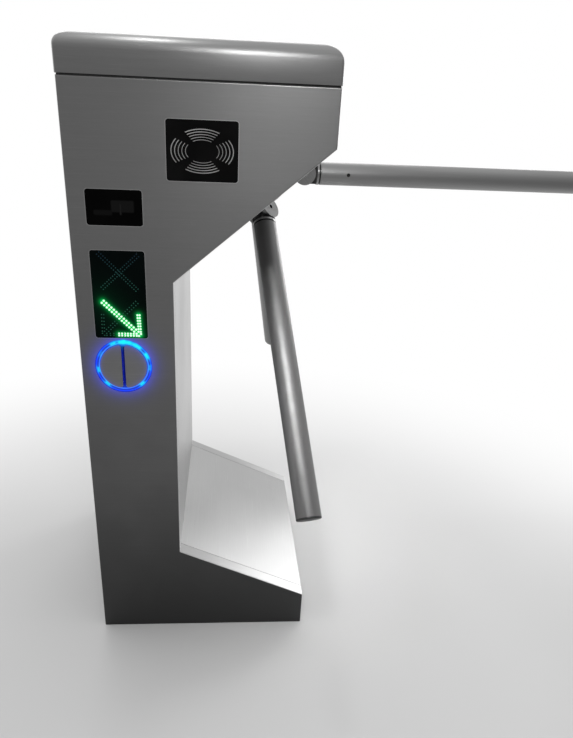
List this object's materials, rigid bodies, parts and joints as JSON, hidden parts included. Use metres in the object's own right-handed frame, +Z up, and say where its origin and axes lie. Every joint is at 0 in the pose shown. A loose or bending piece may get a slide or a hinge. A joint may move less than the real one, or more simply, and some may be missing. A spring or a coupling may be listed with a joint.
{
  "type": "tripod turnstile",
  "caption": "C-shaped steel cabinet with a sloped rotating hub whose folding arms bar a passage, with reader, scanner, direction display and lit card slot.",
  "frame": {"origin": "centre of the floor anchor pattern, on the floor under the middle of the cabinet", "axes": "+X towards the passage, the way the blocking arm points; -Y towards the face with the reader; +Z up"},
  "size_m": [0.8912, 0.827, 1],
  "materials": {
    "cabinet_steel": "horizontal brushed stainless",
    "arm_steel": "satin polished stainless tube",
    "hub_steel": "satin turned stainless",
    "fastener_steel": "plain stainless",
    "zinc_steel": "zinc plated sheet",
    "machined_steel": "machined",
    "brass": "machined",
    "black_glass_plastic": "gloss black acrylic",
    "light_guide": "lit blue acrylic",
    "black_plastic": "matte black",
    "circuit_board": "lacquered board",
    "rubber": "matte rubber"
  },
  "bodies": {
    "cabinet": {"base_end_panel": "cabinet_steel", "base_plate": "zinc_steel", "base_slope_panel": "cabinet_steel", "bearing_housing": "machined_steel", "bearings": "machined_steel", "cable_grommet": "rubber", "card_box": "zinc_steel", "card_chute": "zinc_steel", "centring_spring": "machined_steel", "chassis_bolts": "fastener_steel", "chassis_plate": "zinc_steel", "column_inner_panel": "cabinet_steel", "control_unit": "black_plastic", "damper": "black_plastic", "display_board": "circuit_board", "display_window": "black_glass_plastic", "front_panel": "cabinet_steel", "head_end_panel": "cabinet_steel", "head_slope_panel": "cabinet_steel", "lid_gasket": "rubber", "lid_hinge_fixed_leaves": "fastener_steel", "lid_hinge_pins": "fastener_steel", "lid_lock_barrel": "fastener_steel", "lock_solenoid": "black_plastic", "mechanism_pillars": "zinc_steel", "mechanism_plate": "zinc_steel", "outer_side_panel": "cabinet_steel", "position_sensor": "zinc_steel", "power_supply": "zinc_steel", "reader_module": "black_plastic", "reader_window": "black_glass_plastic", "rear_panel": "cabinet_steel", "scanner_module": "black_plastic", "scanner_window": "black_glass_plastic", "side_panel_screws": "fastener_steel", "slot_faces": "hub_steel", "slot_light_guide": "light_guide"},
    "lid": {"lid": "cabinet_steel", "lid_lock_hook": "fastener_steel", "lid_hinge_moving_leaves": "fastener_steel"},
    "lid_lock": {"lid_lock_cam": "fastener_steel"},
    "rotor": {"hub": "hub_steel", "main_shaft": "machined_steel", "main_gear": "machined_steel", "lock_disc": "machined_steel", "encoder_disc": "machined_steel", "arm_b_tube": "arm_steel", "arm_b_knuckle": "hub_steel", "arm_c_tube": "arm_steel", "arm_c_knuckle": "hub_steel", "held_arm_plugs": "black_plastic", "rotor_pins_and_screws": "fastener_steel"},
    "blocking_arm": {"arm_a_tube": "arm_steel", "arm_a_knuckle": "hub_steel", "arm_a_plug": "black_plastic", "arm_a_set_screw": "fastener_steel"},
    "pawl": {"lock_pawl": "machined_steel"},
    "plunger": {"solenoid_plunger": "machined_steel"},
    "centring_wheel": {"centring_gear": "brass"},
    "damper_wheel": {"damper_pinion": "machined_steel"}
  },
  "joints": [
    {"name": "hub_turn", "type": "hinge", "parent": "cabinet", "child": "rotor", "pos_m": [0.1065, 0, 0.80044], "axis": [0.6428, 0, -0.766], "continuous": true},
    {"name": "arm_drop", "type": "hinge", "parent": "rotor", "child": "blocking_arm", "pos_m": [0.17022, 0, 0.82342], "axis": [0, 1, 0], "range_deg": [0, 90]},
    {"name": "lid_hinge", "type": "hinge", "parent": "cabinet", "child": "lid", "pos_m": [-0.1955, 0, 0.949], "axis": [0, -1, 0], "range_deg": [0, 85]},
    {"name": "lid_lock_turn", "type": "hinge", "parent": "cabinet", "child": "lid_lock", "pos_m": [0.19, 0, 0.912], "axis": [-1, 0, 0], "range_deg": [0, 90]},
    {"name": "pawl_swing", "type": "hinge", "parent": "cabinet", "child": "pawl", "pos_m": [0.07576, -0.0635, 0.90714], "axis": [0.6428, 0, -0.766], "range_deg": [0, 8], "stiffness_Nm_per_rad": 0.3},
    {"name": "plunger_slide", "type": "slide", "parent": "cabinet", "child": "plunger", "axis": [0, 1, 0], "range_m": [0, 0.0066]},
    {"name": "centring_turn", "type": "hinge", "parent": "cabinet", "child": "centring_wheel", "pos_m": [-0.01263, 0, 0.81796], "axis": [0.6428, 0, -0.766], "continuous": true, "deforming": ["centring_spring"]},
    {"name": "damper_turn", "type": "hinge", "parent": "cabinet", "child": "damper_wheel", "pos_m": [0.01488, -0.06068, 0.84104], "axis": [0.6428, 0, -0.766], "continuous": true}
  ],
  "couplings": [
    {"joint": "plunger_slide", "follows": "pawl_swing", "m_per_rad": 0.045037},
    {"joint": "centring_turn", "follows": "hub_turn", "ratio": -3},
    {"joint": "damper_turn", "follows": "hub_turn", "ratio": -4}
  ]
}
